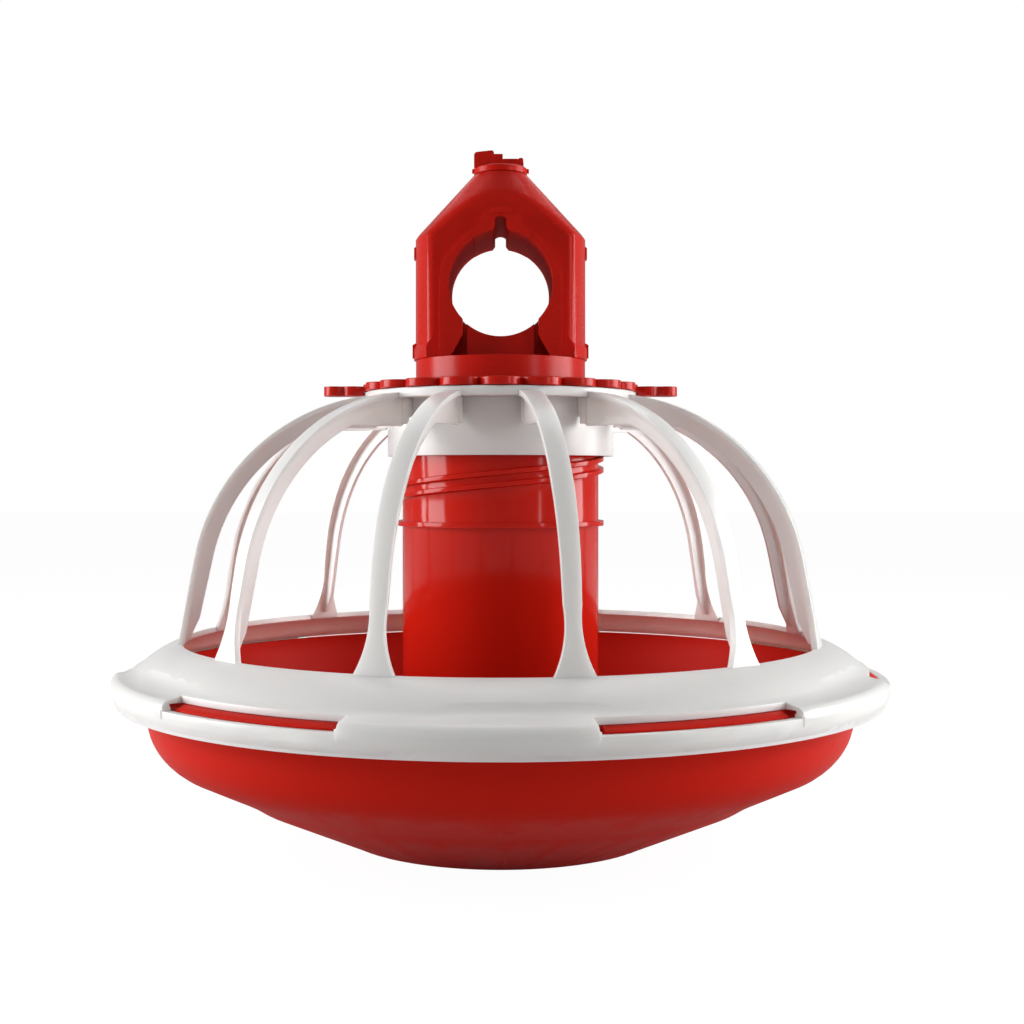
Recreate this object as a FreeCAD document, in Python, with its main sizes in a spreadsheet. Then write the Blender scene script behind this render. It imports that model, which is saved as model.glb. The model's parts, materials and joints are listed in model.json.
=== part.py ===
import FreeCAD, Part
import math
import os

import Sketcher

"""Pan feeder for poultry that hangs from a level feed pipe.

Lengths are in millimetres. Z is up, the pipe runs along Y, and the origin is
the centre of the underside of the pan. The saddle and its cradle clip round
the pipe. The drop tube hangs in the neck below them and turns with the level
ring. The grille rides on the screw threads of the tube, so turning the ring
raises or lowers it. The pan hangs in the rim of the grille by a bayonet.
"""

Vector = FreeCAD.Vector
Rotation = FreeCAD.Rotation
UP = Vector(0, 0, 1)

DIMENSIONS = {
    # feed pipe and saddle
    "pipe_bore": 23.2, "pipe_height": 248.5, "saddle_radius": 39.0, "skirt_radius": 39.8,
    "saddle_wall": 2.5, "plate_reach": 22.0, "arch_reach": 29.3, "arch_radius": 27.0, "boss_step": 0.9,
    "pad_step": 2.0, "leg_gap": 16.8, "lining_wall": 2.2, "saddle_bottom": 216.0,
    "shoulder_height": 273.0, "roof_height": 301.4, "roof_radius": 12.1,
    "front_round": 5.0,
    # neck
    "neck_radius": 38.9, "neck_bottom": 194.4, "cradle_width": 15.0,
    # lock cap
    "cap_radius": 12.2, "cap_bottom": 301.7, "cap_top": 304.7, "stem_radius": 4.95, "stem_hole": 5.0,
    # level ring
    "ring_bottom": 201.5, "ring_thickness": 3.5, "ring_bore": 39.3, "ring_radius": 57.0,
    "lobe_radius": 9.4, "lobe_circle": 53.8, "lobe_number": 20, "handle_thickness": 4.4, "handle_drop": 1.9,
    # drop tube
    "tube_radius": 45.0, "tube_wall": 2.2, "tube_bottom": 20.0, "shoulder_thickness": 3.5,
    "thread_radius": 47.4, "thread_lead": 27.0, "thread_gap": 5.2, "thread_width": 2.3,
    "groove_front": 161.95, "stop_height": 141.5,
    # grille
    "collar_bore": 48.2, "collar_radius": 51.8, "collar_bottom": 172.0, "hub_bottom": 197.0,
    "hub_top": 201.2, "hub_radius": 62.0, "lug_bore": 46.0, "lug_height": 1.6,
    "spoke_number": 12, "spoke_start": 11.0, "spoke_width": 8.4, "spoke_waist": 6.9, "foot_width": 16.4,
    "spoke_thickness": 2.4, "web_thickness": 2.0, "web_depth": 5.6, "web_bottom": 184.6,
    "curve_centre_radius": 50.0, "curve_centre_height": 110.2, "curve_size": 89.8,
    "foot_radius": 145.2, "foot_height": 87.3,
    # rim of the grille
    "rim_edge_radius": 144.2, "rim_edge_height": 89.5, "rim_radius": 174.0, "rim_bottom": 64.0,
    "rim_bore": 170.2, "window_sill": 72.7, "window_radius": 165.0,
    "window_angle": 28.6, "window_number": 6, "ledge_bore": 167.2, "ledge_top": 72.3,
    "ledge_angle": 26.0, "pad_circle": 161.6, "pad_azimuth": 3.0, "pad_cutter": 12.0, "pad_sink": 0.4,
    "pad_offset": 68.0,
    # pan
    "pan_floor": 70.0, "pan_wall": 2.5, "pan_lip_radius": 165.2, "pan_lip_height": 74.8,
    "pan_lug_radius": 169.2, "pan_lug_bottom": 72.6, "pan_lug_angle": 27.0,
    "cone_height": 34.0, "cone_radius": 52.0,
}


class Size:
    """A length that knows both its value and the formula that gives it."""

    def __init__(self, value, text):
        self.value = float(value)
        self.text = text

    @staticmethod
    def of(other):
        if isinstance(other, Size):
            return other
        return Size(other, f"{float(other):.6g}")

    def join(self, other, sign, value):
        return Size(value, f"({self.text} {sign} {other.text})")

    def __add__(self, other):
        other = Size.of(other)
        return self.join(other, "+", self.value + other.value)

    def __radd__(self, other):
        return Size.of(other) + self

    def __sub__(self, other):
        other = Size.of(other)
        return self.join(other, "-", self.value - other.value)

    def __rsub__(self, other):
        return Size.of(other) - self

    def __mul__(self, other):
        other = Size.of(other)
        return self.join(other, "*", self.value * other.value)

    def __rmul__(self, other):
        return Size.of(other) * self

    def __truediv__(self, other):
        other = Size.of(other)
        return self.join(other, "/", self.value / other.value)

    def __neg__(self):
        return Size(0, "0") - self


class Dims:
    """Every driving dimension, by its name in the sheet."""

    def __init__(self, values):
        for name, value in values.items():
            setattr(self, name, Size(value, f"Dimensions.{name}"))


document = FreeCAD.newDocument("PanFeeder")
sheet = document.addObject("Spreadsheet::Sheet", "Dimensions")
for row, (alias, number) in enumerate(DIMENSIONS.items(), start=1):
    sheet.set(f"A{row}", alias)
    sheet.set(f"B{row}", str(number))
    sheet.setAlias(f"B{row}", alias)
document.recompute()
d = Dims(DIMENSIONS)


def via(x, y):
    """A point that the curve to the next corner passes through."""
    return ("via", Size.of(x), Size.of(y))


def new_body(label):
    body = document.addObject("PartDesign::Body", label)
    body.Label = label
    return body


def new_sketch(body, name, plane, turn=0.0, lift=0.0):
    """An empty sketch on an origin plane, turned about Z (in degrees) and lifted along its normal."""
    sketch = body.newObject("Sketcher::SketchObject", name)
    origin = [item for item in body.Origin.OriginFeatures if item.Role == f"{plane}_Plane"][0]
    sketch.AttachmentSupport = (origin, [""])
    sketch.MapMode = "FlatFace"
    axis = UP if plane == "XY" else Vector(0, 1, 0)
    sketch.AttachmentOffset = FreeCAD.Placement(Vector(0, 0, 0), Rotation(axis, turn))
    lift = Size.of(lift)
    if lift.value:
        sketch.setExpression("AttachmentOffset.Base.z", lift.text)
    return sketch


def pin(sketch, kind, geometry, end, size):
    """Fix one coordinate of one end of a line or curve to a size from the sheet."""
    place = sketch.addConstraint(Sketcher.Constraint(kind, geometry, end, size.value))
    if "Dimensions" in size.text:
        sketch.setExpression(f"Constraints[{place}]", size.text)


def outline(sketch, corners):
    """Draw a closed outline through the corners, with an arc wherever a via point stands between two."""
    points = [tuple(Size.of(v) for v in c) if c[0] != "via" else c for c in corners]
    starts = []
    total = len(points)
    position = 0
    while position < total:
        start = points[position]
        middle = points[position + 1] if position + 1 < total and points[position + 1][0] == "via" else None
        step = 2 if middle else 1
        end = points[(position + step) % total]
        a = Vector(start[0].value, start[1].value, 0)
        b = Vector(end[0].value, end[1].value, 0)
        if middle:
            arc = Part.Arc(a, Vector(middle[1].value, middle[2].value, 0), b)
            index = sketch.addGeometry(arc, False)
            forward = (sketch.getPoint(index, 1) - a).Length < 1e-6
            radius = sketch.Geometry[index].Radius
            half_turn = abs((b - a).Length - 2 * radius) < 1e-3
            starts.append((index, start, 1 if forward else 2, None if half_turn else radius))
        else:
            index = sketch.addGeometry(Part.LineSegment(a, b), False)
            starts.append((index, start, 1, None))
        position += step
    count = len(starts)
    for order, (index, start, head, radius) in enumerate(starts):
        following = starts[(order + 1) % count]
        sketch.addConstraint(Sketcher.Constraint("Coincident", index, 3 - head, following[0], following[2]))
    for index, start, head, radius in starts:
        pin(sketch, "DistanceX", index, head, start[0])
        pin(sketch, "DistanceY", index, head, start[1])
        if radius:
            sketch.addConstraint(Sketcher.Constraint("Radius", index, radius))


def circle(sketch, x, y, radius):
    x, y, radius = Size.of(x), Size.of(y), Size.of(radius)
    index = sketch.addGeometry(Part.Circle(Vector(x.value, y.value, 0), UP, radius.value), False)
    pin(sketch, "DistanceX", index, 3, x)
    pin(sketch, "DistanceY", index, 3, y)
    place = sketch.addConstraint(Sketcher.Constraint("Radius", index, radius.value))
    if "Dimensions" in radius.text:
        sketch.setExpression(f"Constraints[{place}]", radius.text)
    return index


def spin(body, name, corners, turn=0.0, angle=360.0, cut=False):
    """Turn an outline of (radius, height) corners about Z, all round or over part of a turn."""
    sketch = new_sketch(body, f"{name}_profile", "XZ", turn)
    outline(sketch, corners)
    kind = "PartDesign::Groove" if cut else "PartDesign::Revolution"
    feature = body.newObject(kind, name)
    feature.Profile = sketch
    feature.ReferenceAxis = (sketch, ["V_Axis"])
    angle = Size.of(angle)
    feature.Angle = angle.value
    feature.Midplane = angle.value < 360
    if "Dimensions" in angle.text:
        feature.setExpression("Angle", angle.text)
    return feature


def push(body, name, plane, drawing, length, turn=0.0, lift=0.0, cut=False, both=False, back=False):
    """Pad or pocket an outline: both sides of its plane, or from its lifted plane along the normal."""
    sketch = new_sketch(body, f"{name}_profile", plane, turn, lift)
    drawing(sketch)
    kind = "PartDesign::Pocket" if cut else "PartDesign::Pad"
    feature = body.newObject(kind, name)
    feature.Profile = sketch
    length = Size.of(length)
    feature.Length = length.value
    if "Dimensions" in length.text:
        feature.setExpression("Length", length.text)
    feature.Midplane = both
    feature.Reversed = back
    return feature


def repeat(body, name, features, number):
    """Repeat features evenly round Z."""
    pattern = body.newObject("PartDesign::PolarPattern", name)
    pattern.Originals = features
    vertical = [item for item in body.Origin.OriginFeatures if item.Role == "Z_Axis"][0]
    pattern.Axis = (vertical, [""])
    pattern.Angle = 360
    pattern.Occurrences = int(Size.of(number).value)
    number = Size.of(number)
    if "Dimensions" in number.text:
        pattern.setExpression("Occurrences", number.text)
    body.Tip = pattern
    return pattern


def round_edges(body, name, chosen, radius):
    """Round the edges of a body so far whose every end and middle passes a test."""
    document.recompute()
    base = body.Tip
    names = []
    for number, edge in enumerate(base.Shape.Edges, start=1):
        middle = edge.valueAt((edge.FirstParameter + edge.LastParameter) / 2)
        if all(chosen(point) for point in (middle, *(vertex.Point for vertex in edge.Vertexes))):
            names.append(f"Edge{number}")
    feature = body.newObject("PartDesign::Fillet", name)
    feature.Base = (base, names)
    feature.Radius = radius.value
    feature.setExpression("Radius", radius.text)
    body.Tip = feature
    return feature


def front_angle(theta):
    """Turn for a sketch so that its +X side points theta degrees round from the front towards +X."""
    return theta - 90.0


def chain(corners):
    return lambda sketch: outline(sketch, corners)


def saddle():
    """The housing that drops over the pipe: a thin drum with a cone roof and two flat, arched mouths."""
    body = new_body("hood_saddle")
    spin(body, "drum", [
        (0, d.saddle_bottom), (d.skirt_radius, d.saddle_bottom), (d.skirt_radius, d.saddle_bottom + 5),
        (d.saddle_radius, d.saddle_bottom + 6.5), (d.saddle_radius, d.shoulder_height - 2),
        (d.saddle_radius - 1.4, d.shoulder_height), (d.roof_radius + 0.6, d.roof_height - 0.8),
        (d.roof_radius, d.roof_height), (0, d.roof_height),
    ])
    beyond = d.saddle_radius + 20
    for side, flip in (("front", 1), ("back", -1)):
        push(body, f"{side}_flat", "XZ", chain([
            (-beyond, d.saddle_bottom - 5), (beyond, d.saddle_bottom - 5), (beyond, d.roof_height + 5),
            (-beyond, d.roof_height + 5),
        ]), 30, lift=d.plate_reach * flip, cut=True, back=flip > 0)
    reach, low = d.plate_reach.value, d.saddle_bottom.value + 6
    round_edges(body, "front_rounding", lambda p: abs(abs(p.y) - reach) < 0.01 and p.z > low, d.front_round)
    room = d.saddle_radius - d.saddle_wall
    inner = d.plate_reach - d.saddle_wall
    corner = math.sqrt(room.value ** 2 - inner.value ** 2)
    push(body, "drum_room", "XY", chain([
        (-corner, -inner), (corner, -inner), via(room, 0), (corner, inner), (-corner, inner), via(-room, 0),
    ]), d.shoulder_height - d.saddle_bottom - 4, lift=d.saddle_bottom - 2, cut=True, back=True)
    spin(body, "roof_room", [
        (0, d.shoulder_height - 8), (inner, d.shoulder_height - 8), (inner, d.shoulder_height + 9),
        (d.stem_radius + 4, d.roof_height - 8), (0, d.roof_height - 8),
    ], cut=True)
    around = d.pipe_bore + d.lining_wall
    lining = [
        (-around, d.pipe_height - 8), (around, d.pipe_height - 8), (around, d.pipe_height),
        via(0, d.pipe_height + around), (-around, d.pipe_height),
    ]
    push(body, "lining", "XZ", chain(lining), inner * 2 + 1, both=True)
    push(body, "lining_rib", "XZ", chain([
        (-5.0, d.pipe_height + 20), (5.0, d.pipe_height + 20), (5.0, d.pipe_height + 32),
        (-5.0, d.pipe_height + 32),
    ]), inner * 2 + 1, both=True)
    arch = [
        (-d.arch_radius, d.saddle_bottom), (d.arch_radius, d.saddle_bottom),
        (d.arch_radius, d.pipe_height), via(0, d.pipe_height + d.arch_radius),
        (-d.arch_radius, d.pipe_height),
    ]
    crown = [
        (12.3, 23.2), (9.7, 25.3, "via"), (8.9, 27.7), (8.0, 30.6, "via"), (5.3, 32.5), (4.4, 33.3),
    ]
    boss = [(-12.3, d.pipe_height + 19), (12.3, d.pipe_height + 19)]
    boss += [via(c[0], d.pipe_height + c[1]) if len(c) > 2 else (c[0], d.pipe_height + c[1]) for c in crown]
    boss += [via(-c[0], d.pipe_height + c[1]) if len(c) > 2 else (-c[0], d.pipe_height + c[1])
             for c in reversed(crown)]
    pad_low = d.pipe_height + 30.4
    pad_high = d.pipe_height + 33.0
    pad = [
        (-3.0, pad_low), (3.0, pad_low), via(4.3, pad_low + 1.3), (3.0, pad_high), (-3.0, pad_high),
        via(-4.3, pad_low + 1.3),
    ]
    depth = d.arch_reach - d.plate_reach + 0.5
    for side, flip in (("front", 1), ("back", -1)):
        start = (d.plate_reach - 0.5) * flip
        push(body, f"{side}_arch", "XZ", chain(arch), depth, lift=start, back=flip < 0)
        push(body, f"{side}_boss", "XZ", chain(boss), depth + d.boss_step, lift=start, back=flip < 0)
        push(body, f"{side}_pad", "XZ", chain(pad), depth + d.pad_step, lift=start, back=flip < 0)
    step = math.sqrt(d.pipe_bore.value ** 2 - d.leg_gap.value ** 2)
    key = 3.8
    key_step = math.sqrt(d.pipe_bore.value ** 2 - key ** 2)
    mouth = [
        (-22.0, d.saddle_bottom - 1), (22.0, d.saddle_bottom - 1), (22.0, d.saddle_bottom + 0.4),
        (d.leg_gap, d.pipe_height - 22.6), (d.leg_gap, d.pipe_height - step), via(d.pipe_bore, d.pipe_height),
        (key, d.pipe_height + key_step), (2.55, d.pipe_height + 24.6), (2.55, d.pipe_height + 28.3),
        via(0, d.pipe_height + 29.3), (-2.55, d.pipe_height + 28.3), (-2.55, d.pipe_height + 24.6),
        (-key, d.pipe_height + key_step), via(-d.pipe_bore, d.pipe_height),
        (-d.leg_gap, d.pipe_height - step), (-d.leg_gap, d.pipe_height - 22.6),
        (-22.0, d.saddle_bottom + 0.4),
    ]
    push(body, "mouth", "XZ", chain(mouth), d.arch_reach * 2 + 10, cut=True, both=True)
    for name, low, high, reach in (("skirt_tab", 217.2, 224.5, 40.5), ("shoulder_tab", 262.5, 269.0, 39.8)):
        for side, turn in (("right", 0.0), ("left", 180.0)):
            spin(body, f"{side}_{name}", [
                (d.saddle_radius - 1, low), (reach, low), (reach, high - 1.5), (d.saddle_radius - 1, high),
            ], turn=turn, angle=10.0)
    spin(body, "stem_bore", [
        (0, d.roof_height - 12), (d.stem_hole, d.roof_height - 12), (d.stem_hole, d.roof_height + 1),
        (0, d.roof_height + 1),
    ], cut=True)
    return body


def neck():
    """The lower clip: two cradle panels under the pipe on a short neck that ends in a swivel bead."""
    body = new_body("neck_cradle")
    wall = d.neck_radius - d.saddle_wall
    spin(body, "sleeve", [
        (wall, d.neck_bottom), (d.neck_radius, d.neck_bottom), (d.neck_radius + 2.2, d.neck_bottom + 2),
        (d.neck_radius + 2.2, d.neck_bottom + 3.3), (d.neck_radius, d.neck_bottom + 3.3),
        (d.neck_radius, d.saddle_bottom), (wall, d.saddle_bottom),
    ])
    for side, flip in (("front", 1), ("back", -1)):
        start = d.plate_reach - 1.2
        push(body, f"{side}_cradle", "XZ", chain([
            (-d.cradle_width, d.saddle_bottom - 6), (d.cradle_width, d.saddle_bottom - 6),
            (d.cradle_width, d.pipe_height - 17.7), via(0, d.pipe_height - d.pipe_bore),
            (-d.cradle_width, d.pipe_height - 17.7),
        ]), 2.4, lift=start if flip > 0 else -start, back=flip < 0)
        push(body, f"{side}_cross_wall", "XZ", chain([
            (-21, d.saddle_bottom - 6), (21, d.saddle_bottom - 6), (21, d.pipe_height - 9.9),
            via(0, d.pipe_height - d.pipe_bore), (-21, d.pipe_height - 9.9),
        ]), 2.0, lift=15.6 * flip, back=flip < 0)
        push(body, f"{side}_shelf", "XY", chain([
            (-d.cradle_width - 6, 15.6 * flip), (d.cradle_width + 6, 15.6 * flip),
            (d.cradle_width + 6, 31.0 * flip), (-d.cradle_width - 6, 31.0 * flip),
        ][::flip]), 2.4, lift=d.saddle_bottom - 2.4)
    return body


def lock_cap():
    """The turning lock on the roof, with a stem that snaps through it."""
    body = new_body("lock_cap")
    spin(body, "band", [
        (0, d.cap_bottom), (d.cap_radius, d.cap_bottom), (d.cap_radius, d.cap_top - 0.6),
        (d.cap_radius - 0.6, d.cap_top), (0, d.cap_top),
    ])
    spin(body, "stem", [
        (0, d.roof_height - 11), (5.2, d.roof_height - 11), (6.6, d.roof_height - 9.2),
        (6.6, d.roof_height - 8.3), (d.stem_radius, d.roof_height - 8.3),
        (d.stem_radius, d.cap_bottom + 1), (0, d.cap_bottom + 1),
    ])
    block = d.cap_top - 0.5
    push(body, "thumb_block", "XZ", chain([
        (-12.1, block), (-3.0, block), (-3.0, d.cap_top + 5.9), via(-3.4, d.cap_top + 6.75),
        (-4.4, d.cap_top + 7.0), (-10.8, d.cap_top + 6.3), via(-11.7, d.cap_top + 5.8),
        (-12.1, d.cap_top + 4.7),
    ]), 13.0, both=True)
    push(body, "bridge_block", "XZ", chain([
        (-3.4, block), (1.0, block), (1.0, d.cap_top + 5.8), (-3.4, d.cap_top + 5.8),
    ]), 9.0, both=True)
    push(body, "tail_block", "XZ", chain([
        (0.6, block), (10.7, block), (10.4, d.cap_top + 3.9), (9.8, d.cap_top + 4.3),
        (8.7, d.cap_top + 4.3), (8.4, d.cap_top + 3.9), (0.6, d.cap_top + 3.9),
    ]), 6.0, both=True)
    for side, turn in (("right", 0.0), ("left", 180.0)):
        spin(body, f"{side}_nub", [
            (d.cap_radius - 1, d.cap_bottom + 0.8), (d.cap_radius + 0.9, d.cap_bottom + 0.8),
            (d.cap_radius + 0.9, d.cap_bottom + 2.4), (d.cap_radius - 1, d.cap_bottom + 2.8),
        ], turn=turn, angle=12.0)
    return body


def level_ring():
    """The scalloped ring, with a pair of handles, that turns the drop tube."""
    body = new_body("level_ring")

    def disc(sketch):
        circle(sketch, 0, 0, d.ring_radius)
        circle(sketch, 0, 0, d.ring_bore)

    push(body, "disc", "XY", disc, d.ring_thickness, lift=d.ring_bottom)
    lobe = push(body, "lobe", "XY", lambda s: circle(s, d.lobe_circle, 0, d.lobe_radius), d.ring_thickness,
                lift=d.ring_bottom)
    repeat(body, "lobes", [lobe], d.lobe_number)
    reach = d.lobe_circle + d.lobe_radius
    for side, turn in (("right", 0.0), ("left", 180.0)):
        push(body, f"{side}_link", "XY", chain([
            (reach - 6, -5.0), (reach + 3, -5.0), (reach + 3, 5.0), (reach - 6, 5.0),
        ]), d.ring_thickness - 1, turn=turn, lift=d.ring_bottom)
        push(body, f"{side}_handle", "XY", chain([
            (reach - 0.6, -4.4), (reach + 1.2, -5.2), via(reach + 4.6, -6.3), (reach + 8.0, -4.8),
            via(reach + 9.0, -4.5), (reach + 10.0, -4.8), via(reach + 13.4, -5.8), (reach + 16.6, -4.0),
            via(reach + 18.1, 0), (reach + 16.6, 4.0), via(reach + 13.4, 5.8), (reach + 10.0, 4.8),
            via(reach + 9.0, 4.5), (reach + 8.0, 4.8), via(reach + 4.6, 6.3), (reach + 1.2, 5.2),
            (reach - 0.6, 4.4),
        ]), d.handle_thickness, turn=turn, lift=d.ring_bottom - d.handle_drop)
    spin(body, "grip_bead", [
        (d.ring_bore, d.ring_bottom + 3), (d.ring_bore + 3, d.ring_bottom + 3),
        (d.ring_bore + 3, d.ring_bottom + 5.2), (d.ring_bore, d.ring_bottom + 5.2),
    ])
    return body


def thread(body, name, height, start, top):
    """One rib of the double screw rib, from an angle round the front to a top height."""
    sketch = new_sketch(body, f"{name}_profile", "XZ", front_angle(start))
    outline(sketch, [
        (d.tube_radius - 0.6, height - d.thread_width / 2 - 0.3),
        (d.thread_radius, height - d.thread_width / 2 + 0.2),
        (d.thread_radius, height + d.thread_width / 2 - 0.2),
        (d.tube_radius - 0.6, height + d.thread_width / 2 + 0.3),
    ])
    rib = body.newObject("PartDesign::AdditiveHelix", name)
    rib.Profile = sketch
    rib.ReferenceAxis = (sketch, ["V_Axis"])
    rib.Mode = 0
    rib.setExpression("Pitch", d.thread_lead.text)
    rise = top - height
    rib.setExpression("Height", rise.text)
    rib.LeftHanded = False
    rib.Reversed = False
    return rib


def drop_tube():
    """The tube that drops feed into the pan: a shoulder on top, a stop rib and a double screw rib."""
    body = new_body("drop_tube")
    inner = d.tube_radius - d.tube_wall
    under = d.ring_bottom - d.shoulder_thickness
    spin(body, "pipe", [
        (inner, d.tube_bottom), (d.tube_radius, d.tube_bottom), (d.tube_radius, d.ring_bottom),
        (d.ring_bore, d.ring_bottom), (d.ring_bore, under), (inner, under),
    ])
    rib = d.thread_width / 2
    spin(body, "stop_rib", [
        (d.tube_radius - 0.6, d.stop_height - rib), (d.thread_radius, d.stop_height - rib),
        (d.thread_radius, d.stop_height + rib), (d.tube_radius - 0.6, d.stop_height + rib),
    ])
    per_degree = d.thread_lead / 360.0
    for name, shift, start, top in (("lower_rib", -0.5, -215.0, 194.0), ("upper_rib", 0.5, -240.0, 197.0)):
        height = d.groove_front + per_degree * start + d.thread_gap * shift
        thread(body, name, height, start, Size.of(top))
    return body


def hub():
    """The plate at the top of the grille that the spokes spring from."""
    body = new_body("hub_plate")
    spin(body, "plate", [
        (d.collar_bore, d.hub_bottom), (d.hub_radius, d.hub_bottom), (d.hub_radius, d.hub_top - 0.5),
        (d.hub_radius - 0.5, d.hub_top), (d.collar_bore, d.hub_top),
    ])
    return body


def collar():
    """The sleeve round the drop tube, with three lugs that run between the screw ribs."""
    body = new_body("grille_collar")
    spin(body, "sleeve", [
        (d.collar_bore, d.collar_bottom), (d.collar_radius, d.collar_bottom),
        (d.collar_radius, d.hub_bottom), (d.collar_bore, d.hub_bottom),
    ])
    for number, theta in enumerate((180.0, 300.0, 420.0), start=1):
        height = d.groove_front + d.thread_lead * (theta / 360.0)
        spin(body, f"lug_{number}", [
            (d.lug_bore, height - d.lug_height / 2), (d.collar_bore + 0.6, height - d.lug_height / 2),
            (d.collar_bore + 0.6, height + d.lug_height / 2), (d.lug_bore, height + d.lug_height / 2),
        ], turn=front_angle(theta), angle=9.0)
    return body


def spoke(number):
    """One curved strap of the grille, with its stiffening web and its flared foot."""
    body = new_body(f"spoke_{number:02d}")

    def on_curve(inset, degrees):
        angle = math.radians(degrees)
        size = d.curve_size - inset
        return d.curve_centre_radius + size * math.cos(angle), d.curve_centre_height + size * math.sin(angle)

    hub_end, middle, foot_end = 82.6, 50.0, 11.0
    thick, low = d.spoke_thickness, d.foot_height
    top = d.hub_radius - 0.4
    strap = [
        (top, on_curve(0, hub_end)[1]), via(*on_curve(0, middle)), on_curve(0, foot_end),
        (d.foot_radius, low + 1.6), (d.foot_radius - 0.8, low), (d.foot_radius - thick, low),
        on_curve(thick, foot_end), via(*on_curve(thick, middle)), (top, on_curve(thick, hub_end)[1]),
    ]
    push(body, "strap", "XZ", chain(strap), d.foot_width, both=True)
    waist = d.spoke_waist / 2
    for name, side in (("left", 1), ("right", -1)):
        push(body, f"{name}_side", "YZ", chain([
            (side * (d.foot_width / 2 + 2), low - 2), (side * (d.foot_width / 2 + 2), d.hub_top + 4),
            (side * d.spoke_width / 2, d.hub_top + 4), (side * d.spoke_width / 2, low + 72),
            (side * waist, low + 28), via(side * (waist + 1.25), low + 10.2),
            (side * d.foot_width / 2, low + 1.7), (side * d.foot_width / 2, low - 2),
        ][::side]), 120, lift=50, cut=True, back=True)
    inset = thick + d.web_depth
    web = [
        (d.collar_radius + 0.1, d.hub_bottom - 0.1), (d.hub_radius + 0.4, d.hub_bottom - 0.1),
        (d.hub_radius + 0.4, on_curve(1, hub_end)[1]), via(*on_curve(1, middle)), on_curve(1, foot_end),
        (d.foot_radius - 1.4, low + 3), (d.foot_radius - 5.0, low + 3.6), (d.foot_radius - 9.4, low + 13),
        on_curve(inset, foot_end), via(*on_curve(inset, 40)), on_curve(inset, 65.5),
        (d.collar_radius + 6, d.web_bottom), (d.collar_radius + 0.1, d.web_bottom + 5),
    ]
    push(body, "web", "XZ", chain(web), d.web_thickness, both=True)
    post = [(54.2, 185.6), (57.8, 185.6), (57.8, d.hub_bottom - 0.1), (54.2, d.hub_bottom - 0.1)]
    push(body, "post", "XZ", chain(post), 3.4, both=True)
    theta = d.spoke_start.value + (number - 1) * 360.0 / d.spoke_number.value
    body.Placement = FreeCAD.Placement(Vector(0, 0, 0), Rotation(UP, front_angle(theta)))
    return body


def rim():
    """The hoop at the bottom of the grille: a sloping top, a rounded wall, six windows and ledges."""
    body = new_body("grille_rim")
    edge_r, edge_z = d.rim_edge_radius, d.rim_edge_height
    spin(body, "hoop", [
        (edge_r, edge_z), via(edge_r + 9.8, edge_z - 4.2), (edge_r + 17.8, edge_z - 9.9),
        via(edge_r + 21.8, edge_z - 12.0), (edge_r + 26.6, edge_z - 12.9), via(edge_r + 29.3, edge_z - 14.9),
        (d.rim_radius, 71.5), via(173.6, 68.4), (d.rim_bore + 1.6, d.rim_bottom + 1.2),
        (d.rim_bore + 1.6, d.rim_bottom), (d.rim_bore, d.rim_bottom), (d.rim_bore, 75.1),
        (d.window_radius + 0.3, 75.1), via(edge_r + 17.0, edge_z - 12.4), (edge_r + 12.8, edge_z - 9.2),
        via(edge_r + 7.6, edge_z - 5.8), (edge_r - 0.8, edge_z - 2.3),
    ])
    middle = front_angle(d.spoke_start.value + 15.0)
    window = spin(body, "window", [
        (d.window_radius, d.window_sill), (d.rim_radius + 4, d.window_sill),
        (d.rim_radius + 4, d.rim_edge_height), (d.window_radius, d.rim_edge_height),
    ], turn=middle, angle=d.window_angle, cut=True)
    upper = spin(body, "window_mouth", [
        (d.window_radius, d.window_sill + 1.3), (d.rim_radius + 4, d.window_sill + 1.3),
        (d.rim_radius + 4, d.rim_edge_height), (d.window_radius, d.rim_edge_height),
    ], turn=middle, angle=d.window_angle + 0.5, cut=True)
    face = spin(body, "window_face", [
        (d.rim_radius - 0.25, d.rim_bottom + 3), (d.rim_radius + 4, d.rim_bottom + 3),
        (d.rim_radius + 4, d.window_sill + 2), (d.rim_radius - 0.25, d.window_sill + 2),
    ], turn=middle, angle=d.window_angle + 0.5, cut=True)
    repeat(body, "windows", [window, upper, face], d.window_number)
    ledge = spin(body, "ledge", [
        (d.ledge_bore, d.ledge_top - 1.8), (d.rim_bore + 0.6, d.ledge_top - 2.6),
        (d.rim_bore + 0.6, d.ledge_top), (d.ledge_bore, d.ledge_top),
    ], turn=middle, angle=d.ledge_angle)
    repeat(body, "ledges", [ledge], d.window_number)
    dimple = thumb_pad(body)
    repeat(body, "thumb_pads", [dimple], d.window_number)
    return body


def thumb_pad(body):
    """A shallow oval sunk in the sloping top of the rim.

    A round cutter turns about an upright axis that stands behind that of the rim, so that it leaves
    the slope gradually at both ends.
    """
    lean = math.radians(33.0)
    reach = d.pad_cutter - d.pad_sink
    across = d.pad_circle + reach * math.sin(lean)
    height = d.rim_edge_height - 9.7 + reach * math.cos(lean)
    turn = front_angle(d.pad_azimuth.value)
    sketch = new_sketch(body, "thumb_pad_profile", "XZ", turn)
    aside = sketch.AttachmentOffset.Rotation
    sketch.AttachmentOffset = FreeCAD.Placement(aside.multVec(Vector(-d.pad_offset.value, 0, 0)), aside)
    circle(sketch, d.pad_offset + across, height, d.pad_cutter)
    feature = body.newObject("PartDesign::Groove", "thumb_pad")
    feature.Profile = sketch
    feature.ReferenceAxis = (sketch, ["V_Axis"])
    feature.Angle = 24.0
    feature.Midplane = True
    return feature


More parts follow.
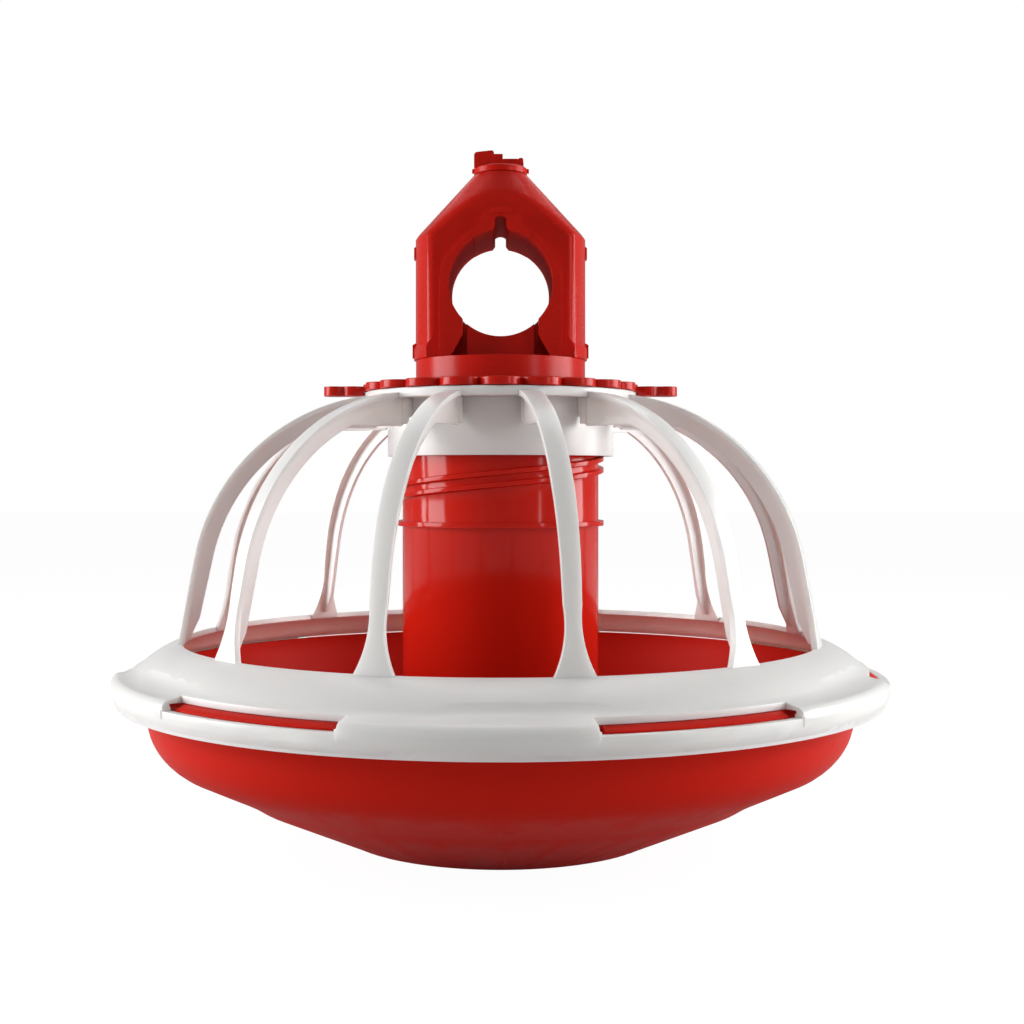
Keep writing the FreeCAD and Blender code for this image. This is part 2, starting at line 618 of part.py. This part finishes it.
def pan():
    """The dished pan, with a cone inside its floor that spreads the feed and six lugs on its lip."""
    body = new_body("feed_pan")
    wall = d.pan_wall
    lip, top = d.pan_lip_radius, d.pan_lip_height
    spin(body, "dish", [
        (0, 0), (d.pan_floor, 0), via(d.pan_floor + 1.3, 0.2), (d.pan_floor + 2.5, 0.8), (114, 19.7),
        (120, 23.5), (126, 26.6), (147, 36.8), via(154.6, 44.5), (158.6, 56), (162.6, 67.0),
        (lip, top - 2.2), (lip, top), (lip - wall, top), (160.0, 67.6), (156.2, 56.8),
        via(152.4, 46.2), (145.9, 39.0), (125, 28.8), (119, 25.9), (113, 22.2), (d.pan_floor + 1.2, wall + 0.9),
        (d.cone_radius, wall + 0.4), via(24, 14), (9, d.cone_height - 3),
        (6.5, d.cone_height - 1.0), (3.5, d.cone_height), (0, d.cone_height),
    ])
    middle = front_angle(d.spoke_start.value + 15.0)
    lug = spin(body, "lug", [
        (lip - 0.8, d.pan_lug_bottom + 0.1), (d.pan_lug_radius, d.pan_lug_bottom),
        (d.pan_lug_radius, d.pan_lug_bottom + 0.6), (d.pan_lug_radius - 3.0, top), (lip - 0.8, top),
    ], turn=middle, angle=d.pan_lug_angle)
    repeat(body, "lugs", [lug], d.window_number)
    return body


def write(bodies):
    """Check every object and save each body as its own STEP file."""
    document.recompute()
    problems = []
    for item in document.Objects:
        if "Invalid" in item.State or "Error" in item.State:
            problems.append(f"{item.Name}: {item.State}")
    for body in bodies:
        shape = body.Shape
        if shape.isNull() or not shape.isValid() or len(shape.Solids) != 1:
            count = 0 if shape.isNull() else len(shape.Solids)
            problems.append(f"{body.Label}: shape is not one valid solid ({count})")
    if problems:
        raise RuntimeError("; ".join(problems))
    os.makedirs("parts", exist_ok=True)
    for body in bodies:
        body.Shape.exportStep(f"parts/{body.Label}.step")


pieces = [saddle(), neck(), lock_cap(), level_ring(), drop_tube(), hub(), collar(), rim(), pan()]
pieces += [spoke(number) for number in range(1, DIMENSIONS["spoke_number"] + 1)]
write(pieces)
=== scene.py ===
import json
import math

import bpy
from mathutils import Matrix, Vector


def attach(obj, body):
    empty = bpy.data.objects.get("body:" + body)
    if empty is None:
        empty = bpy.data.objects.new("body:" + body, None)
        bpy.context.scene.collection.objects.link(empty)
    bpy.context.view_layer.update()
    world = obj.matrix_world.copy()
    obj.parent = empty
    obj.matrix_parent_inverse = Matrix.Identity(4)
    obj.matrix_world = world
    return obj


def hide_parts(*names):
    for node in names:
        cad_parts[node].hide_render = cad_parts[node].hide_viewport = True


bl_info = {
    "name": "Poultry pan feeder",
    "version": (1, 0, 0),
    "blender": (4, 5, 0),
    "location": "View3D > Sidebar > Pan feeder",
    "description": "Finishes, rounded mouldings and studio for a pan feeder on a feed pipe",
    "category": "Object",
}

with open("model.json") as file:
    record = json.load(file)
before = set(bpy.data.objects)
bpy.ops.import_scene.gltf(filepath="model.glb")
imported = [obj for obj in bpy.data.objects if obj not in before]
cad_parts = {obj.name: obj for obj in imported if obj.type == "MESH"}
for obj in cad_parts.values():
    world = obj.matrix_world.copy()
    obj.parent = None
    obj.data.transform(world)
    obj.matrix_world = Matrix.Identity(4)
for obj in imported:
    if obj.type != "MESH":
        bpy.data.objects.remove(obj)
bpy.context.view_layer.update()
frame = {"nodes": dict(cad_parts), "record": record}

RED_HEAD = ("hood_saddle", "neck_cradle")
SPOKES = tuple(sorted(name for name in frame["nodes"] if name.startswith("spoke_")))
BODY_OF = {
    node: body
    for body, nodes in frame["record"]["behaviour"]["bodies"].items()
    for node in nodes
}

# Passage of the feed pipe through the head, in metres.
PIPE_HEIGHT = frame["record"]["mounts"][0]["pos_m"][2]
MOUTH_REACH = 0.0246
SLOT_HALF_WIDTH = 0.0045
SLOT_REACH = 0.0305
SIDEWAYS_NORMAL = 0.5

# Rounding of the moulded edges: shares of the edge radius, then the settings of every piece.
HEAD_EDGE = 2.2
RING_EDGE = 1.6
TUBE_EDGE = 0.7
SPOKE_EDGE = 1.5
EDGE_SEGMENTS = 3
MERGE_DISTANCE = 0.000004
FLAT_ANGLE = math.radians(0.4)
EDGE_ANGLE = math.radians(32.0)
SMOOTH_ANGLE = math.radians(38.0)

# Plastic: sizes of its patterns, then the settings that every colour shares.
CLOUD_SCALE = 26.0
FLOW_SCALE = 90.0
FLOW_STRETCH = (1.0, 1.0, 0.16)
GRAIN_SCALE = 900.0
SCUFF_SCALE = 240.0
SCUFF_START = 0.56
PEEL_DEPTH = 0.0004
PLASTIC_IOR = 1.49
COAT_ROUGHNESS = 0.06
WHITE_COAT = 0.1
SCATTER_RADIUS = (0.005, 0.0042, 0.0036)

# Outputs of the Light Path node.
CAMERA_RAY, GLOSSY_RAY, TRANSMISSION_RAY = 0, 3, 6

# Studio.
WHITE = (1.0, 1.0, 1.0)
FLOOR_SIZE = 12.0
FLOOR_HEIGHT = -0.0006
FLOOR_GREY = (0.62, 0.62, 0.62, 1.0)
FLOOR_GLOW = 1.10
FLOOR_GLOW_SHARE = 0.88
REFLECTED_SHARE = 0.08
WORLD_SEEN = 0.81
WORLD_FILL = 0.19
SENSOR_WIDTH = 36.0
CAMERA_SHIFT = (0.0112, -0.0352)
LAMP_TARGET = (0.0, 0.0, 0.15)
# Name, place, width, height and power.
LAMPS = (
    ("left_soft_box", (-1.15, -0.12, 0.28), 0.75, 1.0, 19.0),
    ("right_soft_box", (1.15, 0.02, 0.28), 0.8, 1.0, 17.5),
    ("right_window", (0.95, -0.88, 0.45), 0.12, 0.9, 2.2),
    ("top_soft_box", (0.0, 0.70, 1.15), 0.9, 0.9, 4.5),
)


class FeederFinish(bpy.types.PropertyGroup):
    """Colours of the two plastics."""

    red: bpy.props.FloatVectorProperty(
        name="Red", description="Colour of the pan and the drop tube", subtype="COLOR",
        size=3, min=0, max=1, default=(0.60, 0.014, 0.006))
    red_dark: bpy.props.FloatVectorProperty(
        name="Dark red", description="Colour of the head, the lock cap and the level ring",
        subtype="COLOR",
        size=3, min=0, max=1, default=(0.54, 0.010, 0.004))
    white: bpy.props.FloatVectorProperty(
        name="White", description="Colour of the grille", subtype="COLOR",
        size=3, min=0, max=1, default=(0.84, 0.84, 0.82))
    red_roughness: bpy.props.FloatProperty(
        name="Red roughness", description="How matt the level ring is", default=0.22,
        min=0, max=1)
    white_roughness: bpy.props.FloatProperty(
        name="White roughness", description="How matt the white plastic is", default=0.3,
        min=0, max=1)


class FeederSizes(bpy.types.PropertyGroup):
    """Sizes of the moulded edges."""

    edge: bpy.props.FloatProperty(
        name="Edge radius", description="Rounding of a moulded edge", unit="LENGTH",
        default=0.0005)


class FeederStudio(bpy.types.PropertyGroup):
    """Camera and backdrop."""

    distance: bpy.props.FloatProperty(
        name="Camera distance", description="From the axis of the feeder", unit="LENGTH",
        default=0.687)
    height: bpy.props.FloatProperty(
        name="Camera height", description="Above the floor", unit="LENGTH", default=0.163)
    lens: bpy.props.FloatProperty(
        name="Lens", description="Focal length in millimetres on a 36 mm sensor", default=52.4)
    backdrop: bpy.props.FloatVectorProperty(
        name="Backdrop", description="Colour of the floor as the camera sees it", subtype="COLOR",
        size=3, min=0, max=1, default=WHITE)


class Shade:
    """A socket in a material's node tree that ordinary arithmetic can be written on."""

    def __init__(self, tree, socket):
        self.tree = tree
        self.socket = socket

    def maths(self, operation, *others):
        node = self.tree.nodes.new("ShaderNodeMath")
        node.operation = operation
        for place, item in enumerate((self,) + others):
            if isinstance(item, Shade):
                self.tree.links.new(item.socket, node.inputs[place])
            else:
                node.inputs[place].default_value = item
        return Shade(self.tree, node.outputs[0])

    def __add__(self, other):
        return self.maths("ADD", other)

    def __sub__(self, other):
        return self.maths("SUBTRACT", other)

    def __mul__(self, other):
        return self.maths("MULTIPLY", other)

    def clamped(self, low=0.0, high=1.0):
        return self.maths("MINIMUM", high).maths("MAXIMUM", low)


def make_node(tree, kind, output=0, settings=None, **inputs):
    """Add any node.

    Settings are its own properties. Inputs are sockets by name, with _ for a space, or by number
    after a leading _.
    """
    node = tree.nodes.new(kind)
    for name, value in (settings or {}).items():
        setattr(node, name, value)
    for name, value in inputs.items():
        key = int(name[1:]) if name[0] == "_" else name.replace("_", " ")
        socket = node.inputs[key]
        if isinstance(value, Shade):
            tree.links.new(value.socket, socket)
        else:
            socket.default_value = value
    return Shade(tree, node.outputs[output])


def empty_material(name):
    """A new material with nothing in its node tree, and that tree."""
    material = bpy.data.materials.new(name)
    material.use_nodes = True
    material.node_tree.nodes.clear()
    return material, material.node_tree


def show(tree, kind, surface):
    """Lead a surface to the tree's output node."""
    output = tree.nodes.new(kind)
    tree.links.new(surface.socket, output.inputs["Surface"])


def ray_kinds(tree):
    """Whether a ray comes from the camera, from a shiny surface or through a clear one."""
    return [make_node(tree, "ShaderNodeLightPath", output)
            for output in (CAMERA_RAY, GLOSSY_RAY, TRANSMISSION_RAY)]


def mix_colours(factor, first, second):
    """Blend two colours. Each is a colour or a Shade."""
    colours = [c if isinstance(c, Shade) else (*c, 1.0) for c in (first, second)]
    return make_node(factor.tree, "ShaderNodeMix", 2, {"data_type": "RGBA"},
                     _0=factor, _6=colours[0], _7=colours[1])


def scaled(colour, amount):
    return tuple(min(1.0, channel * amount) for channel in colour)


def noise(tree, place, **inputs):
    """A noise pattern read at a place."""
    return make_node(tree, "ShaderNodeTexNoise", 0, None, Vector=place, **inputs)


def moulded_plastic(name, colour, roughness, seed, gloss, coat=0.0, mottle=0.10, peel=0.05,
                    translucent=0.0):
    """Injection-moulded plastic: cloudy pigment, flow lines, orange peel and hairline scuffs."""
    material, tree = empty_material(name)
    place = make_node(tree, "ShaderNodeTexCoord", 3)
    moved = make_node(tree, "ShaderNodeMapping", 0, None, Vector=place,
                      Location=(seed, seed * 0.7, seed * 0.3))
    stretched = make_node(tree, "ShaderNodeMapping", 0, None, Vector=moved, Scale=FLOW_STRETCH)
    cloud = noise(tree, moved, Scale=CLOUD_SCALE, Detail=3.0, Roughness=0.55)
    flow = noise(tree, stretched, Scale=FLOW_SCALE, Detail=2.0)
    grain = noise(tree, moved, Scale=GRAIN_SCALE, Detail=2.0)
    scuff = noise(tree, moved, Scale=SCUFF_SCALE, Detail=5.0, Roughness=0.7, Distortion=1.2)

    tone = (cloud * 0.7 + flow * 0.3 - 0.5) * (mottle * 2.2) + 0.5
    base = mix_colours(tone.clamped(), scaled(colour, 1.0 - mottle), scaled(colour, 1.0 + mottle))
    worn = (scuff - SCUFF_START).clamped() * 1.4
    rough = (cloud - 0.5) * 0.10 + worn * 0.35 + roughness
    bump = make_node(tree, "ShaderNodeBump", 0, None, Strength=peel, Distance=PEEL_DEPTH,
                     Height=grain * 0.3 + flow * 0.7)
    scatter = {}
    if translucent:
        scatter = {"Subsurface_Weight": translucent, "Subsurface_Radius": SCATTER_RADIUS,
                   "Subsurface_Scale": 1.0}
    shader = make_node(tree, "ShaderNodeBsdfPrincipled", 0, None, Base_Color=base,
                       Roughness=rough.clamped(0.05, 0.9), Normal=bump, IOR=PLASTIC_IOR,
                       Specular_IOR_Level=gloss, Coat_Weight=coat, Coat_Roughness=COAT_ROUGHNESS,
                       **scatter)
    show(tree, "ShaderNodeOutputMaterial", shader)
    return material


def wear(objects, material):
    """Give every slot of each object the material."""
    for item in objects:
        if not item.material_slots:
            item.data.materials.append(material)
        for place in item.material_slots:
            place.material = material


def line_mouth(piece, material):
    """Give the walls of the pipe's passage the duller finish of a face that a core formed."""
    piece.data.materials.append(material)
    last = len(piece.data.materials) - 1
    for face in piece.data.polygons:
        across, up = face.center.x, face.center.z - PIPE_HEIGHT
        in_slot = abs(across) < SLOT_HALF_WIDTH and 0 < up < SLOT_REACH
        in_mouth = math.hypot(across, up) < MOUTH_REACH
        if abs(face.normal.y) < SIDEWAYS_NORMAL and (in_mouth or in_slot):
            face.material_index = last


def deselect():
    if bpy.context.object and bpy.context.object.mode != "OBJECT":
        bpy.ops.object.mode_set(mode="OBJECT")
    bpy.ops.object.select_all(action="DESELECT")


def choose(item):
    deselect()
    item.select_set(True)
    bpy.context.view_layer.objects.active = item


def add_modifier(item, kind, name, **settings):
    modifier = item.modifiers.new(name, kind)
    for key, value in settings.items():
        setattr(modifier, key, value)
    choose(item)
    bpy.ops.object.modifier_apply(modifier=name)


def rounded_copy(node, name, edge):
    """A copy of a solid with its moulded edges rounded, which then stands for it."""
    source = frame["nodes"][node]
    choose(source)
    bpy.ops.object.duplicate(linked=False)
    piece = bpy.context.object
    for key in list(piece.keys()):
        del piece[key]
    piece.parent = None
    piece.name = name
    piece.data.name = name
    choose(piece)
    bpy.ops.object.mode_set(mode="EDIT")
    bpy.ops.mesh.select_all(action="SELECT")
    bpy.ops.mesh.remove_doubles(threshold=MERGE_DISTANCE)
    bpy.ops.mesh.dissolve_limited(angle_limit=FLAT_ANGLE)
    bpy.ops.object.mode_set(mode="OBJECT")
    add_modifier(piece, "BEVEL", "moulded_edge", width=edge, segments=EDGE_SEGMENTS,
                 limit_method="ANGLE", angle_limit=EDGE_ANGLE, use_clamp_overlap=True,
                 harden_normals=False, miter_outer="MITER_ARC")
    choose(piece)
    bpy.ops.object.shade_smooth_by_angle(angle=SMOOTH_ANGLE)
    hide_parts(node)
    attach(piece, BODY_OF[node])
    return piece


def red_plastic(name, seed, roughness=None, gloss=0.25, dark=False, **more):
    finish = bpy.context.scene.feeder_finish
    if roughness is None:
        roughness = finish.red_roughness
    colour = tuple(finish.red_dark if dark else finish.red)
    return moulded_plastic(name, colour, roughness, seed, gloss, **more)


def white_plastic(name, seed):
    finish = bpy.context.scene.feeder_finish
    return moulded_plastic(name, tuple(finish.white), finish.white_roughness, seed, gloss=0.4,
                           coat=WHITE_COAT, mottle=0.03, translucent=0.4)


class FEEDER_OT_head(bpy.types.Operator):
    """Make the saddle and the neck that clip round the feed pipe"""

    bl_idname = "feeder.head"
    bl_label = "Saddle and neck"

    def execute(self, context):
        edge = context.scene.feeder_sizes.edge
        polished = red_plastic("head_red_plastic", 0.3, dark=True, roughness=0.24, gloss=0.18)
        inside = red_plastic("mouth_red_plastic", 0.9, dark=True, roughness=0.62, gloss=0.03)
        for node in RED_HEAD:
            piece = rounded_copy(node, node + "_moulding", edge * HEAD_EDGE)
            wear([piece], polished)
            line_mouth(piece, inside)
        return {"FINISHED"}


class FEEDER_OT_lock(bpy.types.Operator):
    """Make the turning lock on the roof of the saddle"""

    bl_idname = "feeder.lock"
    bl_label = "Lock cap"

    def execute(self, context):
        piece = rounded_copy("lock_cap", "lock_cap_moulding", context.scene.feeder_sizes.edge)
        wear([piece], red_plastic("lock_red_plastic", 1.9, dark=True, roughness=0.28, gloss=0.14))
        return {"FINISHED"}


class FEEDER_OT_regulator(bpy.types.Operator):
    """Make the scalloped level ring and the drop tube"""

    bl_idname = "feeder.regulator"
    bl_label = "Level ring and drop tube"

    def execute(self, context):
        edge = context.scene.feeder_sizes.edge
        wear([rounded_copy("level_ring", "level_ring_moulding", edge * RING_EDGE)],
             red_plastic("ring_red_plastic", 3.1, dark=True))
        wear([rounded_copy("drop_tube", "drop_tube_moulding", edge * TUBE_EDGE)],
             red_plastic("tube_red_plastic", 4.7, roughness=0.11, gloss=0.24, mottle=0.05,
                         peel=0.02))
        return {"FINISHED"}


class FEEDER_OT_grille(bpy.types.Operator):
    """Make the white grille: hub, collar, spokes and rim"""

    bl_idname = "feeder.grille"
    bl_label = "Grille"

    def execute(self, context):
        edge = context.scene.feeder_sizes.edge
        white = white_plastic("grille_white_plastic", 6.1)
        for node in ("hub_plate", "grille_collar"):
            wear([rounded_copy(node, node + "_moulding", edge)], white)
        wear([rounded_copy("grille_rim", "grille_rim_moulding", edge)],
             white_plastic("rim_white_plastic", 7.2))
        for node in SPOKES:
            wear([rounded_copy(node, node + "_moulding", edge * SPOKE_EDGE)], white)
        return {"FINISHED"}


class FEEDER_OT_pan(bpy.types.Operator):
    """Make the red feed pan"""

    bl_idname = "feeder.pan"
    bl_label = "Feed pan"

    def execute(self, context):
        wear([rounded_copy("feed_pan", "feed_pan_moulding", context.scene.feeder_sizes.edge)],
             red_plastic("pan_red_plastic", 8.3, roughness=0.42, gloss=0.06, mottle=0.07,
                         peel=0.06))
        return {"FINISHED"}


def backdrop_material(name, colour):
    """A surface that is plain white to the camera and a pale floor to everything else."""
    material, tree = empty_material(name)
    seen, glossy, through = ray_kinds(tree)
    shown = (seen + glossy * REFLECTED_SHARE + through).clamped()
    plain = make_node(tree, "ShaderNodeEmission", Color=(*colour, 1.0), Strength=FLOOR_GLOW)
    matt = make_node(tree, "ShaderNodeBsdfDiffuse", Color=FLOOR_GREY)
    show(tree, "ShaderNodeOutputMaterial",
         make_node(tree, "ShaderNodeMixShader", _0=shown * FLOOR_GLOW_SHARE, _1=matt, _2=plain))
    return material


def studio_world(name):
    """A white surround to the camera and a faint fill to everything else."""
    world = bpy.data.worlds.new(name)
    world.use_nodes = True
    tree = world.node_tree
    tree.nodes.clear()
    seen, glossy, through = ray_kinds(tree)
    strength = (seen + through).clamped() * WORLD_SEEN + glossy * REFLECTED_SHARE + WORLD_FILL
    show(tree, "ShaderNodeOutputWorld",
         make_node(tree, "ShaderNodeBackground", Color=(*WHITE, 1.0), Strength=strength))
    return world


def add_lamp(name, place, width, height, power):
    """A white soft box aimed at the middle of the feeder."""
    lamp = bpy.data.lights.new(name, "AREA")
    lamp.shape = "RECTANGLE"
    lamp.size = width
    lamp.size_y = height
    lamp.energy = power
    item = bpy.data.objects.new(name, lamp)
    bpy.context.scene.collection.objects.link(item)
    item.location = place
    aim = Vector(LAMP_TARGET) - Vector(place)
    item.rotation_euler = aim.to_track_quat("-Z", "Y").to_euler()


class FEEDER_OT_stage(bpy.types.Operator):
    """Set the camera, the pale floor and the soft lamps"""

    bl_idname = "feeder.stage"
    bl_label = "Studio"

    def execute(self, context):
        scene = context.scene
        studio = scene.feeder_studio
        scene.view_settings.view_transform = "Standard"
        camera = bpy.data.objects.new("camera", bpy.data.cameras.new("camera"))
        scene.collection.objects.link(camera)
        camera.location = (0.0, -studio.distance, studio.height)
        camera.rotation_euler = (math.radians(90), 0.0, 0.0)
        camera.data.lens = studio.lens
        camera.data.sensor_width = SENSOR_WIDTH
        camera.data.shift_x, camera.data.shift_y = CAMERA_SHIFT
        camera.data.clip_start = 0.01
        scene.camera = camera

        deselect()
        bpy.ops.mesh.primitive_plane_add(size=FLOOR_SIZE, location=(0.0, 0.0, FLOOR_HEIGHT))
        floor = bpy.context.object
        floor.name = "studio_floor"
        bpy.ops.object.transform_apply(location=True, rotation=True, scale=True)
        wear([floor], backdrop_material("studio_white", tuple(studio.backdrop)))

        scene.world = studio_world("studio_world")
        for lamp in LAMPS:
            add_lamp(*lamp)
        return {"FINISHED"}


class FEEDER_PT_panel(bpy.types.Panel):
    """Lists the steps that dress the feeder."""

    bl_idname = "FEEDER_PT_panel"
    bl_label = "Pan feeder"
    bl_space_type = "VIEW_3D"
    bl_region_type = "UI"
    bl_category = "Pan feeder"

    def draw(self, context):
        scene = context.scene
        for group in (scene.feeder_finish, scene.feeder_sizes, scene.feeder_studio):
            box = self.layout.box()
            for name in group.__annotations__:
                box.prop(group, name)
        for operator in OPERATORS:
            self.layout.operator(operator.bl_idname)


GROUPS = (
    ("feeder_finish", FeederFinish),
    ("feeder_sizes", FeederSizes),
    ("feeder_studio", FeederStudio),
)
OPERATORS = (
    FEEDER_OT_head,
    FEEDER_OT_lock,
    FEEDER_OT_regulator,
    FEEDER_OT_grille,
    FEEDER_OT_pan,
    FEEDER_OT_stage,
)


def register():
    for name, group in GROUPS:
        bpy.utils.register_class(group)
        setattr(bpy.types.Scene, name, bpy.props.PointerProperty(type=group))
    for item in OPERATORS + (FEEDER_PT_panel,):
        bpy.utils.register_class(item)


def unregister():
    for item in reversed(OPERATORS + (FEEDER_PT_panel,)):
        bpy.utils.unregister_class(item)
    for name, group in reversed(GROUPS):
        delattr(bpy.types.Scene, name)
        bpy.utils.unregister_class(group)


def main():
    register()
    bpy.ops.feeder.head()
    bpy.ops.feeder.lock()
    bpy.ops.feeder.regulator()
    bpy.ops.feeder.grille()
    bpy.ops.feeder.pan()
    bpy.ops.feeder.stage()
    bpy.context.view_layer.update()


if __name__ == "__main__":
    main()
